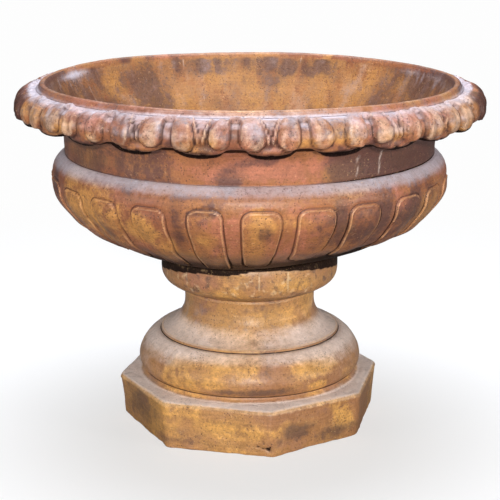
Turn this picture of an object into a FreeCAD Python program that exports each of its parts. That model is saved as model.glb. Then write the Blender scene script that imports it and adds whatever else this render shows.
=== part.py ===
import FreeCAD, Part
import math
import os

# Pedestal planter (tazza) in fired clay: a wide gadrooned bowl with a leaf-moulded roll rim,
# on a hollow round pedestal with an octagonal plinth, and a thin bedding ring between the two.
# Millimetres. Origin: centre of the plinth's underside, +Z up, -Y towards the front.
# Angles round the axis are in degrees, counted from -Y towards +X.

V = FreeCAD.Vector

# ---- plinth ----
PLINTH_H = 55.0
PLINTH_R_TOP = 160.4       # circumradius of the octagon at its top
PLINTH_R_BOTTOM = 155.2    # circumradius at the underside: the sides lean in downwards
PLINTH_SIDES = 8
PLINTH_TURN = 8.3          # angle to one corner
PLINTH_CORNER = 12.0       # rounding of the upright corners
PLINTH_ARRIS = 4.0         # rounding of the top and bottom edges

# ---- seat: pedestal top, bedding ring, spigot and socket ----
SEAT_Z = 207.0             # top of the pedestal
RING_T = 3.0
RING_R_IN, RING_R_OUT = 62.0, 97.0
RING_BULGE_IN, RING_BULGE_OUT = 0.8, 0.9   # swell of the ring's inner and outer edges
BOWL_SEAT_Z = SEAT_Z + RING_T
BOWL_SEAT_R = 99.0         # flat underside of the bowl
SOCKET_R = 56.0            # hole in the pedestal's top that takes the spigot
SOCKET_CHAMFER_R, SOCKET_CHAMFER_Z = 2.0, 4.0
SPIGOT_R = 50.0            # spigot under the bowl, loose in the socket
SPIGOT_Z = 192.0           # its lower end
SPIGOT_CHAMFER_R, SPIGOT_CHAMFER_Z = 3.0, 4.0
DRAIN_R = 16.0             # drain hole through the bowl's floor and spigot
DRAIN_TOP = 230.0          # floor level at the drain hole

# ---- socle: the round part of the pedestal ----
SOCLE_BOTTOM = 30.0        # sunk into the plinth, to join it
CORE_OVERRUN = 5.0         # how far the core passes the pedestal's top and underside

# ---- bowl ornament ----
UNITS = 24                 # leaf units round the rim, and panels round the belly
PITCH = 360.0 / UNITS
PANEL_PHASE = 2.9          # angle to one panel's centre line
PANEL_WIDTH = 10.6         # degrees
PANEL_WIDTH_R = 233.8      # radius at which that angle sets the panel's straight width
PANEL_TOP_Z = 303.0
PANEL_PROUD = 2.6          # how far a panel stands out of the belly
PANEL_SUNK = 6.0           # how far it reaches into the wall, to join it
PANEL_CORNER = 10.0        # rounding of its top corners
STENCIL_X, STENCIL_DEPTH = 90.0, 160.0     # radial start and length of the panel's stencil
STENCIL_BOTTOM = 200.0     # below the lowest part of a panel
LEAF_PHASE = 4.5           # angle to one leaf unit's centre line
LOBE_OFFSET = 4.05         # degrees from a unit's centre to each of its two lobes
LOBE_R = 13.6              # a lobe is a capsule of this radius, its two centres at (r, z):
LOBE_TOP, LOBE_FOOT = (253.5, 388.5), (261.6, 381.5)
SCOOP_R, SCOOP_Z = 13.0, 361.6             # radial scoops into the rim's lower edge
SCOOP_START, SCOOP_LENGTH = 253.0, 40.0

# ---- bowl profile, (r, z) points: up the outside, over the rim, down the inside ----
CREASE = (217.4, 328.5)    # where the frieze meets the shoulder
BELLY = [
    (104.5, 211.6), (115.0, 213.2), (130.0, 216.8), (150.0, 222.8), (166.0, 230.0),
    (179.5, 238.0), (190.4, 243.6), (198.0, 247.8), (204.4, 252.2), (210.0, 257.8),
    (216.4, 265.6), (223.0, 273.6), (228.2, 281.4), (231.4, 289.5), (232.4, 298.0),
    (232.8, 306.0), (231.2, 315.0), (226.0, 323.0), CREASE]
FRIEZE = [
    CREASE, (217.9, 335.0), (218.3, 343.0), (219.0, 351.5), (221.6, 359.0),
    (227.5, 364.6), (237.0, 367.6), (247.0, 368.4), (256.0, 368.2)]
ROLL = [
    FRIEZE[-1], (263.4, 369.6), (267.8, 374.6), (269.6, 382.4), (269.0, 390.5),
    (265.4, 397.0), (258.6, 401.6), (249.2, 404.2)]
CREST = [(247.8, 405.8), (245.4, 409.9), (242.0, 411.7), (239.2, 410.7), (237.3, 407.8)]
INSIDE = [
    CREST[-1], (230.5, 393.5), (221.0, 376.0), (210.5, 359.0), (202.0, 343.0),
    (197.8, 329.0), (198.4, 315.0), (201.0, 303.0), (201.0, 293.0), (198.0, 282.5),
    (190.5, 270.5), (178.0, 259.5), (160.0, 249.5), (137.0, 241.5), (108.0, 236.0),
    (75.0, 232.8), (42.0, 231.4), (20.0, 231.0)]
PANEL_PROFILE = BELLY[1:17]                # the stretch of the belly that a panel follows

# ---- pedestal profile, (r, z) points from the top down ----
COLLAR = [
    (101.0, SEAT_Z), (104.4, 205.6), (106.0, 201.8), (106.4, 194.0), (106.5, 186.5),
    (105.7, 180.4), (103.7, 175.6), (100.4, 171.6), (95.4, 168.0), (89.0, 165.0),
    (81.6, 162.6)]
WAIST = [
    (79.3, 160.8), (78.6, 152.0), (78.5, 144.0), (80.0, 135.0), (83.6, 127.4),
    (89.2, 120.9), (95.6, 115.9), (101.8, 112.5), (107.4, 110.4)]
TORUS = [
    (108.6, 107.2), (113.2, 106.8), (119.2, 103.2), (124.6, 98.2), (129.2, 91.8),
    (133.0, 84.6), (134.8, 77.5), (134.2, 70.6), (131.8, 65.0), (128.4, 61.2)]
FOOT = [TORUS[-1], (129.2, 58.8), (131.4, 56.6), (135.0, PLINTH_H)]
CORE = [                   # the pedestal's hollow
    (SOCKET_R, SEAT_Z - SOCKET_CHAMFER_Z), (55.0, 180.0), (54.0, 150.0), (56.0, 130.0),
    (62.0, 116.5), (76.0, 105.0), (93.0, 94.0), (107.0, 78.0), (116.0, 55.0),
    (120.0, 28.0), (122.0, 0.0)]


# ---- helpers: profiles are drawn as (r, z) points in the XZ plane ----
def to_vector(point):
    return V(point[0], 0, point[1])


def lines(*points):
    """Straight edges from each point to the next."""
    return [Part.makeLine(to_vector(a), to_vector(b)) for a, b in zip(points, points[1:])]


def spline(points):
    curve = Part.BSplineCurve()
    curve.interpolate([to_vector(p) for p in points])
    return curve.toShape()


def face_from(edges):
    return Part.Face(Part.Wire(Part.__sortEdges__(edges)))


def revolve(edges, degrees=360.0):
    return face_from(edges).revolve(V(0, 0, 0), V(0, 0, 1), degrees)


def as_solid(shape):
    """The shape's only solid, turned right side out."""
    solids = shape.Solids
    assert len(solids) == 1, "expected one solid, got %d" % len(solids)
    solid = solids[0]
    if solid.Volume < 0:
        solid.reverse()
    return solid


def turned(shape, angle):
    """Copy of a shape built on the +X axis, turned to face the given angle from the front."""
    copy = shape.copy()
    copy.rotate(V(0, 0, 0), V(0, 0, 1), angle - 90.0)
    return copy


def offset(points, distance):
    """Shift an upward profile square to itself, away from the axis."""
    shifted = []
    for i, (r, z) in enumerate(points):
        before, after = points[max(i - 1, 0)], points[min(i + 1, len(points) - 1)]
        dr, dz = after[0] - before[0], after[1] - before[1]
        length = math.hypot(dr, dz)
        shifted.append((r + distance * dz / length, z - distance * dr / length))
    return shifted


# ---- pedestal ----
def octagon(radius, z):
    points = []
    for k in range(PLINTH_SIDES + 1):
        angle = math.radians(360.0 / PLINTH_SIDES * k + PLINTH_TURN - 90.0)
        points.append(V(radius * math.cos(angle), radius * math.sin(angle), z))
    return Part.makePolygon(points)


def make_plinth():
    plinth = Part.makeLoft([octagon(PLINTH_R_BOTTOM, 0), octagon(PLINTH_R_TOP, PLINTH_H)],
                           True, True)
    upright = [e for e in plinth.Edges if abs(e.Vertexes[0].Z - e.Vertexes[1].Z) > 10]
    plinth = plinth.makeFillet(PLINTH_CORNER, upright)
    level = [e for e in plinth.Edges
             if all(abs(v.Z - e.Vertexes[0].Z) < 1e-3 for v in e.Vertexes)
             and e.BoundBox.ZLength < 0.5]
    return plinth.makeFillet(PLINTH_ARRIS, level)


def make_socle():
    edges = lines((0, SEAT_Z), COLLAR[0]) + [spline(COLLAR)]
    edges += lines(COLLAR[-1], WAIST[0]) + [spline(WAIST)]
    edges += lines(WAIST[-1], TORUS[0]) + [spline(TORUS), spline(FOOT)]
    edges += lines(FOOT[-1], (FOOT[-1][0], SOCLE_BOTTOM), (0, SOCLE_BOTTOM), (0, SEAT_Z))
    return as_solid(revolve(edges))


def make_core():
    mouth_r = SOCKET_R + SOCKET_CHAMFER_R
    top, bottom = SEAT_Z + CORE_OVERRUN, -CORE_OVERRUN
    edges = lines((0, top), (mouth_r, top), (mouth_r, SEAT_Z), CORE[0]) + [spline(CORE)]
    edges += lines(CORE[-1], (CORE[-1][0], bottom), (0, bottom), (0, top))
    return as_solid(revolve(edges))


def make_pedestal():
    return as_solid(make_plinth().fuse(make_socle()).cut(make_core()))


# ---- bedding ring ----
def make_seat_ring():
    middle = SEAT_Z + RING_T / 2.0
    flat_in, flat_out = RING_R_IN + RING_BULGE_IN, RING_R_OUT - RING_BULGE_OUT
    edges = lines((flat_in, SEAT_Z), (flat_out, SEAT_Z))
    edges.append(spline([(flat_out, SEAT_Z), (RING_R_OUT, middle), (flat_out, BOWL_SEAT_Z)]))
    edges += lines((flat_out, BOWL_SEAT_Z), (flat_in, BOWL_SEAT_Z))
    edges.append(spline([(flat_in, BOWL_SEAT_Z), (RING_R_IN, middle), (flat_in, SEAT_Z)]))
    return as_solid(revolve(edges))


# ---- bowl ----
def make_plain_bowl():
    drain_foot = (DRAIN_R, SPIGOT_Z)
    edges = lines(drain_foot, (SPIGOT_R - SPIGOT_CHAMFER_R, SPIGOT_Z),
                  (SPIGOT_R, SPIGOT_Z + SPIGOT_CHAMFER_Z), (SPIGOT_R, BOWL_SEAT_Z),
                  (BOWL_SEAT_R, BOWL_SEAT_Z), BELLY[0])
    edges += [spline(BELLY), spline(FRIEZE), spline(ROLL)]
    edges += lines(ROLL[-1], CREST[0]) + [spline(CREST), spline(INSIDE)]
    edges += lines(INSIDE[-1], (DRAIN_R, DRAIN_TOP), drain_foot)
    return as_solid(revolve(edges))


def make_stencil():
    """Block with the panel's outline seen along the radius: two rounded top corners."""
    half = PANEL_WIDTH_R * math.sin(math.radians(PANEL_WIDTH / 2.0))
    top, bottom, corner = PANEL_TOP_Z, STENCIL_BOTTOM, PANEL_CORNER
    inset = corner * (1 - math.sqrt(0.5))  # from the square corner to the arc's middle

    def at(y, z):
        return V(STENCIL_X, y, z)

    outline = [
        Part.makeLine(at(-half, bottom), at(half, bottom)),
        Part.makeLine(at(half, bottom), at(half, top - corner)),
        Part.Arc(at(half, top - corner), at(half - inset, top - inset),
                 at(half - corner, top)).toShape(),
        Part.makeLine(at(half - corner, top), at(-half + corner, top)),
        Part.Arc(at(-half + corner, top), at(-half + inset, top - inset),
                 at(-half, top - corner)).toShape(),
        Part.makeLine(at(-half, top - corner), at(-half, bottom))]
    return face_from(outline).extrude(V(STENCIL_DEPTH, 0, 0))


def make_panel():
    """A skin over the belly, trimmed by the stencil."""
    outer = offset(PANEL_PROFILE, PANEL_PROUD)
    inner = offset(PANEL_PROFILE, -PANEL_SUNK)
    edges = [spline(outer)] + lines(outer[-1], inner[-1])
    edges += [spline(inner)] + lines(inner[0], outer[0])
    skin = revolve(edges, PANEL_WIDTH)
    skin.rotate(V(0, 0, 0), V(0, 0, 1), -PANEL_WIDTH / 2.0)
    return as_solid(skin.common(make_stencil()))


def make_lobe():
    """A capsule made upright on the axis, then tilted and moved out to the rim."""
    dr, dz = LOBE_TOP[0] - LOBE_FOOT[0], LOBE_TOP[1] - LOBE_FOOT[1]
    span = math.hypot(dr, dz)
    diagonal = LOBE_R * math.sqrt(0.5)
    top_arc = Part.Arc(V(0, 0, span + LOBE_R), V(diagonal, 0, span + diagonal),
                       V(LOBE_R, 0, span)).toShape()
    foot_arc = Part.Arc(V(LOBE_R, 0, 0), V(diagonal, 0, -diagonal),
                        V(0, 0, -LOBE_R)).toShape()
    edges = [top_arc] + lines((LOBE_R, span), (LOBE_R, 0)) + [foot_arc]
    edges += lines((0, -LOBE_R), (0, span + LOBE_R))
    lobe = as_solid(revolve(edges))
    lobe.rotate(V(0, 0, 0), V(0, 1, 0), math.degrees(math.atan2(dr, dz)))
    lobe.translate(to_vector(LOBE_FOOT))
    return lobe


def make_bowl():
    plain_bowl, panel, lobe = make_plain_bowl(), make_panel(), make_lobe()
    scoop = Part.makeCylinder(SCOOP_R, SCOOP_LENGTH, V(SCOOP_START, 0, SCOOP_Z), V(1, 0, 0))
    ornament, scoops = [], []
    for k in range(UNITS):
        ornament.append(turned(panel, PANEL_PHASE + k * PITCH))
        for side in (-1, 1):
            ornament.append(turned(lobe, LEAF_PHASE + k * PITCH + side * LOBE_OFFSET))
        scoops.append(turned(scoop, LEAF_PHASE + (k + 0.5) * PITCH))
    bowl = as_solid(plain_bowl.fuse(ornament))
    return as_solid(bowl.cut(Part.makeCompound(scoops)))


os.makedirs("parts", exist_ok=True)
for name, make in (("bowl", make_bowl), ("seat_ring", make_seat_ring),
                   ("pedestal", make_pedestal)):
    piece = make()
    assert piece.isValid(), name
    piece.exportStep("parts/%s.step" % name)
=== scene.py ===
"""A salt-glazed garden urn: a bowl with a leafy rim on a pedestal with an octagonal plinth.

The axis is +Z through the origin and the plinth stands on z = 0.  The front faces -Y and +X is
to the right.  Angles count from the front (-Y) towards the right (+X).  Shapes are in mm and
become metres when a mesh is made; lights and camera are in metres.
"""
import bpy
import functools
import itertools
import math
import numpy as np
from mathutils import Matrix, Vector
from types import SimpleNamespace


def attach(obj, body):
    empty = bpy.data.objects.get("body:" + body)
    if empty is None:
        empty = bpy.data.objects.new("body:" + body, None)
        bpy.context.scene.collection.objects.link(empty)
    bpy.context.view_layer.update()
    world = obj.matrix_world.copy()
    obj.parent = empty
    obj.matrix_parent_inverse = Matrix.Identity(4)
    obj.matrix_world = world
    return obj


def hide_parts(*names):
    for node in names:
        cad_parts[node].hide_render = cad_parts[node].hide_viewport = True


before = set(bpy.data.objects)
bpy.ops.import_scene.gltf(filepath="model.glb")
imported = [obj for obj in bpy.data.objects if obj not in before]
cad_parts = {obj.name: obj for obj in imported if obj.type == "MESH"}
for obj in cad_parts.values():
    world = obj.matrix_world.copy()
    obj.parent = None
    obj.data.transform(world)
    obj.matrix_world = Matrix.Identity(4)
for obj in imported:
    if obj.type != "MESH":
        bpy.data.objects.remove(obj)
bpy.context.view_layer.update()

# ============================================================================================
# dimensions (mm) and outlines, each a list of (radius, height)
# ============================================================================================
TAU = 2.0 * math.pi
SEAT_Z = 207.0                   # top of the pedestal
BEDDING = 3.0                    # thickness of the ring between pedestal and bowl
BOWL_SEAT_Z = SEAT_Z + BEDDING
PLINTH_H = 55.0
PLINTH_TURN = math.radians(8.3)  # angle of the front corner
PLINTH_FOOT = 1.7                # rounding of the plinth's bottom edge
PLINTH_ARRIS = 5.6               # rounding of its top edge, before wear

UNITS = 24                       # panels round the belly, and leaves round the rim
PITCH = TAU / UNITS
PANEL_PHASE = math.radians(2.9)
LEAF_PHASE = math.radians(4.5)
LEAF_PITCH_MM = 268.0 * PITCH    # one leaf's share of the rim
SCALLOP = 0.33                   # half-width of a scallop, in pitches

CREASE = (217.4, 328.5)
BELLY = [
    (104.5, 211.6), (115.0, 213.2), (130.0, 216.8), (150.0, 222.8), (166.0, 230.0),
    (179.5, 238.0), (190.4, 243.6), (198.0, 247.8), (204.4, 252.2), (210.0, 257.8),
    (216.4, 265.6), (223.0, 273.6), (228.2, 281.4), (231.4, 289.5), (232.4, 298.0),
    (232.8, 306.0), (231.2, 315.0), (226.0, 323.0), CREASE]
FRIEZE = [
    CREASE, (217.9, 335.0), (218.3, 343.0), (219.0, 351.5), (221.6, 359.5),
    (227.5, 366.0), (237.0, 370.3), (247.0, 372.6), (255.0, 373.2)]
ROLL = [
    FRIEZE[-1], (261.0, 373.9), (266.0, 376.9), (268.9, 383.0), (268.8, 390.5),
    (265.2, 397.0), (258.4, 401.6), (249.2, 404.2)]
CREST = [
    ROLL[-1], (247.8, 405.8), (245.4, 409.9), (242.0, 411.7), (239.2, 410.7), (237.3, 407.8)]
INSIDE = [
    CREST[-1], (230.5, 393.5), (221.0, 376.0), (210.5, 359.0), (202.0, 343.0),
    (197.8, 329.0), (198.4, 315.0), (201.0, 303.0), (201.0, 293.0), (198.0, 282.5),
    (190.5, 270.5), (178.0, 259.5), (160.0, 249.5), (137.0, 241.5), (108.0, 236.0),
    (75.0, 232.8), (42.0, 231.4), (20.0, 231.0)]

COLLAR = [
    (101.0, SEAT_Z), (104.4, 205.6), (106.0, 201.8), (106.4, 194.0), (106.5, 186.5),
    (105.7, 180.4), (103.7, 175.6), (100.4, 171.6), (95.4, 168.0), (89.0, 165.0), (81.6, 162.6)]
WAIST = [
    (79.3, 160.8), (78.6, 152.0), (78.5, 144.0), (80.0, 135.0), (83.6, 127.4),
    (89.2, 120.9), (95.6, 115.9), (101.8, 112.5), (107.4, 110.4)]
TORUS = [
    (108.6, 107.2), (113.2, 106.8), (119.2, 103.2), (124.6, 98.2), (129.2, 91.8),
    (133.0, 84.6), (134.8, 77.5), (134.2, 70.6), (131.8, 65.0), (128.4, 61.2)]
CORE = [                         # the pedestal's hollow, from the bottom up
    (122.0, 1.5), (120.0, 28.0), (116.0, 55.0), (107.0, 78.0), (93.0, 94.0), (76.0, 105.0),
    (62.0, 116.5), (56.0, 130.0), (54.0, 150.0), (55.0, 180.0), (56.0, 203.0)]

# plinth corners: (angle in degrees, distance from the axis)
TOP_CORNERS = [
    (-81.5, 160.5), (-38.5, 160.6), (8.8, 160.2), (53.8, 161.5),
    (98.3, 160.4), (143.3, 160.4), (188.3, 160.4), (233.3, 160.4)]
FOOT_CORNERS = [
    (-85.0, 154.5), (-36.2, 161.5), (9.4, 161.5), (54.2, 156.0),
    (98.3, 155.2), (143.3, 155.2), (188.3, 155.2), (233.3, 155.2)]

rng = np.random.default_rng(7)


# ============================================================================================
# curves and noise
# ============================================================================================
def smooth(start, end, x):
    """0 at start easing to 1 at end; start may be the larger."""
    t = np.clip((x - start) / (end - start), 0.0, 1.0)
    return t * t * (3.0 - 2.0 * t)


def bump(x, width):
    """1 at 0, falling smoothly to 0 at +-width."""
    t = np.clip(1.0 - (x / width) ** 2, 0.0, 1.0)
    return t * t


def blend(a, b, weight):
    return a * (1 - weight) + b * weight


def strongest(*layers):
    return functools.reduce(np.maximum, layers)


def hash_cells(cells, seed):
    """32 scrambled bits for each integer cell."""
    primes = np.array([374761393, 668265263, 2246822519], np.uint32)
    bits = (cells.astype(np.uint32) * primes).sum(-1, dtype=np.uint32)
    bits += np.uint32((seed * 3266489917) & 0xFFFFFFFF)
    bits ^= bits >> np.uint32(15)
    bits *= np.uint32(2246822507)
    bits ^= bits >> np.uint32(13)
    bits *= np.uint32(3266489909)
    bits ^= bits >> np.uint32(16)
    return bits


def gradient_noise(points, seed):
    """Noise of about -1..1 at points (..., 3)."""
    cells = np.floor(points).astype(np.int64)
    f = points - cells
    fade = f * f * f * (f * (f * 6 - 15) + 10)
    total = np.zeros(points.shape[:-1])
    for corner in itertools.product((0, 1), repeat=3):
        weight = 1.0
        for axis in range(3):
            weight = weight * (fade[..., axis] if corner[axis] else 1 - fade[..., axis])
        bits = hash_cells(cells + corner, seed)
        slope = 0.0
        for axis in range(3):
            part = (bits >> np.uint32(10 * axis)) & np.uint32(1023)
            slope = slope + (part.astype(float) / 511.5 - 1) * (f[..., axis] - corner[axis])
        total += weight * slope
    return total * 1.35


def fractal(points, scale, octaves, seed):
    """Fractal noise; scale is the size in mm of the largest lumps."""
    at = points / scale
    weight, weights, total = 1.0, 0.0, 0.0
    for octave in range(octaves):
        total = total + weight * gradient_noise(at + 17.3 * octave, seed + 31 * octave)
        weights += weight
        weight *= 0.5
        at = at * 2.03
    return total / weights


def cubic(points):
    """Natural cubic through the points by chord length, as a function of t in 0..1."""
    points = np.array(points, float)
    knots = np.concatenate([[0], np.cumsum(np.hypot(*np.diff(points, axis=0).T))])
    n = len(knots)
    matrix = np.zeros((n, n))
    rhs = np.zeros((n, 2))
    matrix[0, 0] = matrix[-1, -1] = 1
    for i in range(1, n - 1):
        before, after = knots[i] - knots[i - 1], knots[i + 1] - knots[i]
        matrix[i, i - 1:i + 2] = before, 2 * (before + after), after
        rhs[i] = 6 * ((points[i + 1] - points[i]) / after - (points[i] - points[i - 1]) / before)
    bend = np.linalg.solve(matrix, rhs)

    def curve(t):
        x = np.clip(t, 0, 1) * knots[-1]
        k = np.clip(np.searchsorted(knots, x, side="right") - 1, 0, n - 2)
        h = (knots[k + 1] - knots[k])[:, None]
        a = (knots[k + 1] - x)[:, None] / h
        b = (x - knots[k])[:, None] / h
        bent = (a ** 3 - a) * h ** 2 * bend[k] + (b ** 3 - b) * h ** 2 * bend[k + 1]
        return a * points[k] + b * points[k + 1] + bent / 6
    return curve


def by_density(x, weight, at):
    """Places in x for the fractions at, closer together where weight is high."""
    total = np.concatenate([[0], np.cumsum((weight[1:] + weight[:-1]) / 2)])
    return np.interp(at, total / total[-1], x)


def resample(points, n, density=None):
    """n + 1 points along a cubic; density is a list of (fraction along, weight)."""
    t = np.linspace(0, 1, n + 1)
    if density is not None:
        x = np.linspace(0, 1, 2001)
        t = by_density(x, np.interp(x, *zip(*density)), t)
    return cubic(points)(t)


def straight(a, b, n):
    return blend(np.array(a, float), np.array(b, float), np.linspace(0, 1, n + 1)[:, None])


def chain(**pieces):
    """Join pieces end to start: the profile, and each piece's first and last row by name."""
    rows, spans = [], {}
    for name, piece in pieces.items():
        first = max(len(rows) - 1, 0)
        rows.extend(piece[1:] if rows else piece)
        spans[name] = (first, len(rows) - 1)
    return np.array(rows), spans


# ============================================================================================
# skins: rows run round a closed profile, columns round the axis
# ============================================================================================
def turned(radius, height, angle):
    return np.stack([radius * np.sin(angle), -radius * np.cos(angle), height], -1)


def heading_of(points):
    """Degrees from the front, positive to the right."""
    return np.degrees(np.arctan2(points[..., 0], -points[..., 1]))


def grid_faces(sizes):
    """Quads between equal rings, triangles where neighbours differ by a factor of 2."""
    start = np.concatenate([[0], np.cumsum(sizes)])
    quads, tris = [], [np.zeros((0, 3), int)]
    for i, size in enumerate(sizes):
        j = (i + 1) % len(sizes)
        count = min(size, sizes[j])
        here = np.arange(count)
        after = (here + 1) % count
        if size == sizes[j]:
            quads.append(np.stack([start[i] + here, start[i] + after,
                                   start[j] + after, start[j] + here], 1))
            continue
        next_is_finer = size < sizes[j]
        fine, coarse = (j, i) if next_is_finer else (i, j)
        f0, f2 = start[fine] + 2 * here, start[fine] + 2 * after
        f1 = f0 + 1
        c0, c1 = start[coarse] + here, start[coarse] + after
        for corners in ((f0, f1, c0), (f1, f2, c1), (f1, c1, c0)):
            tri = np.stack(corners, 1)
            tris.append(tri[:, ::-1] if next_is_finer else tri)
    return np.concatenate(quads), np.concatenate(tris)


def make_mesh(name, co, quads, tris):
    """A smooth-shaded object whose faces look outwards."""
    mesh = bpy.data.meshes.new(name)
    mesh.vertices.add(len(co))
    mesh.vertices.foreach_set("co", co.ravel())
    loops = np.concatenate([quads.ravel(), tris.ravel()])
    mesh.loops.add(len(loops))
    mesh.loops.foreach_set("vertex_index", loops.astype(np.int32))
    faces = len(quads) + len(tris)
    starts = np.concatenate([np.arange(len(quads)) * 4, quads.size + np.arange(len(tris)) * 3])
    mesh.polygons.add(faces)
    mesh.polygons.foreach_set("loop_start", starts.astype(np.int32))
    mesh.polygons.foreach_set("use_smooth", np.ones(faces, bool))
    mesh.update(calc_edges=True)
    mesh.validate()
    a, b, c = co[np.concatenate([quads[:, [0, 1, 2]], quads[:, [0, 2, 3]], tris])].swapaxes(0, 1)
    volume = np.einsum("ij,ij->i", a, np.cross(b, c)).sum()
    if volume < 0:
        mesh.flip_normals()
    ob = bpy.data.objects.new(name, mesh)
    bpy.context.scene.collection.objects.link(ob)
    return ob


class Skin:
    """A turned grid with the layers laid over it."""

    def __init__(self, radius, height, angle, profile=None, spans=None):
        self.radius, self.height, self.angle = np.broadcast_arrays(radius, height, angle)
        self.profile, self.spans = profile, spans
        self.points = turned(self.radius, self.height, self.angle)
        # relief along the normal, rise in z and spread in radius (mm); then masks:
        # dirt and painted shade in crevices and under overhangs, rubbed edges with painted
        # highlights, panel faces, painted highlights on the panel beads and the recesses in the rim
        (self.relief, self.rise, self.spread, self.cavity, self.edge,
         self.panel, self.line, self.window) = np.zeros((8, *self.radius.shape))

    def piece(self, name):
        """A piece's rows, and the length along it (mm) as a column."""
        first, last = self.spans[name]
        steps = np.diff(self.profile[first:last + 1], axis=0)
        along = np.concatenate([[0], np.cumsum(np.hypot(*steps.T))])
        return slice(first, last + 1), along[:, None]

    def displace(self, amount=1.0, outward=1.0):
        """Move the grid; outward is -1 where the rows run the other way."""
        points = turned(self.radius + self.spread * amount,
                        self.height + self.rise * amount, self.angle)
        by_row = np.roll(points, -1, 0) - np.roll(points, 1, 0)
        by_column = np.roll(points, -1, 1) - np.roll(points, 1, 1)
        normal = np.cross(by_column, by_row) * outward
        normal /= np.maximum(np.linalg.norm(normal, axis=-1, keepdims=True), 1e-12)
        self.points = points + normal * (self.relief * amount)[..., None]
        self.up = normal[..., 2]
        self.height = self.points[..., 2]
        self.radius = np.hypot(self.points[..., 0], self.points[..., 1])
        self.heading = heading_of(self.points)
        self.sine = self.points[..., 0] / self.radius       # -1 at the left, 1 at the right

    def cast(self, name, stride=None):
        """Make the object; a row with stride 2 or 4 keeps every second or fourth point."""
        rows, columns = self.radius.shape
        if stride is None:
            stride = np.ones(rows, int)
        self.kept = np.concatenate([i * columns + np.arange(0, columns, stride[i])
                                    for i in range(rows)])
        co = self.points.reshape(-1, 3)[self.kept] * 0.001
        self.object = make_mesh(name, co, *grid_faces(columns // stride))

    def attributes(self, **layers):
        for name, values in layers.items():
            layer = self.object.data.attributes.new(name, "FLOAT", "POINT")
            layer.data.foreach_set(
                "value", np.ascontiguousarray(values.ravel()[self.kept], np.float32))


# ============================================================================================
# bowl
# ============================================================================================
def unit_of(angle, phase):
    """Which unit each angle falls in, and the offset from its centre in pitches."""
    x = (angle - phase) / PITCH
    k = np.round(x)
    return k.astype(int) % UNITS, x - k


def set_units(values, by_hand):
    """Values per unit, with some given one by one; unit 0 is at the front, 1 to its right."""
    for unit, value in by_hand.items():
        values[unit] = value
    return values


def inset(dx, dy, corner):
    """Distance in from the edge of a round-cornered shape, given those to its sides."""
    ex, ey = corner - dx, corner - dy
    return np.where((ex > 0) & (ey > 0), corner - np.hypot(ex, ey), np.minimum(dx, dy))


def box_mean(grid, rows, columns):
    """Mean over 2 rows + 1 by 2 columns + 1 points; columns wrap round."""
    p = np.pad(grid, ((rows, rows), (0, 0)), mode="edge")
    p = np.concatenate([p[:, -columns:], p, p[:, :columns]], 1)
    c = np.cumsum(np.cumsum(np.pad(p, ((1, 0), (1, 0))), 0), 1)
    m, n = 2 * rows + 1, 2 * columns + 1
    return (c[m:, n:] - c[:-m, n:] - c[m:, :-n] + c[:-m, :-n]) / (m * n)


def bowl_profile():
    z = BOWL_SEAT_Z
    profile, spans = chain(
        bore=straight((16.0, 228.4), (16.0, 193.5), 3),
        bore_edge=resample([(16.0, 193.5), (16.6, 192.4), (18.0, 192.0)], 2),
        boss_base=straight((18.0, 192.0), (46.5, 192.0), 3),
        boss_edge=resample([(46.5, 192.0), (49.0, 193.4), (50.0, 196.0)], 3),
        boss_side=straight((50.0, 196.0), (50.0, z - 1), 3),
        seat_corner=resample([(50.0, z - 1), (50.3, z - 0.2), (51.2, z)], 1),
        seat=straight((51.2, z), (99.0, z), 4),
        foot=resample([(99.0, z), (101.6, z + 0.4), BELLY[0]], 3),
        belly=resample(BELLY, 58, [
            (0, 0.4), (0.19, 0.5), (0.21, 1.5), (0.38, 1.5), (0.40, 0.8), (0.80, 0.8),
            (0.82, 2.3), (0.86, 2.3), (0.875, 0.8), (0.96, 0.7), (1, 2.4)]),
        frieze=resample(FRIEZE, 19, [(0, 2.8), (0.08, 0.7), (0.34, 0.7), (0.5, 1.0), (1, 1.2)]),
        roll=resample(ROLL, 34),
        crest=resample(CREST, 8),
        inside=resample(INSIDE, 30, [(0, 2.2), (0.12, 1.4), (0.5, 1.0), (1, 0.6)]),
        bore_mouth=resample([INSIDE[-1], (17.4, 230.4), (16.0, 228.4)], 2))
    return profile[:-1], spans               # the last point is the first again


def bowl_angles(rows, spans):
    """Columns drawn to the panels' edges on the belly and the lobes' edges on the rim."""
    per_unit = 31
    unit = np.repeat(np.arange(UNITS), per_unit)
    fraction = (np.arange(per_unit) + 0.5) / per_unit
    x = np.linspace(-0.5, 0.5, 4001)
    off = np.abs(x)
    panel_weight = 0.62 + 2.2 * np.exp(-((off - 0.345) / 0.055) ** 2)
    leaf_weight = (0.8 + 0.7 * np.exp(-((off - 0.10) / 0.07) ** 2)
                   + 0.9 * np.exp(-((off - 0.44) / 0.06) ** 2))

    def angles(phase, offsets):
        return phase + (unit + np.tile(offsets, UNITS)) * PITCH
    panel = angles(PANEL_PHASE, by_density(x, panel_weight, fraction))
    leaf = angles(LEAF_PHASE, by_density(x, leaf_weight, fraction))
    even = angles(LEAF_PHASE, fraction - 0.5)
    row = np.arange(rows)[:, None]
    angle = blend(even, panel, smooth(spans["foot"][0] - 2, spans["belly"][0], row))
    angle = blend(angle, leaf, smooth(spans["belly"][1], spans["frieze"][1] - 4, row))
    return blend(angle, even, smooth(spans["crest"][0], spans["inside"][0] + 8, row))


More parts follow.
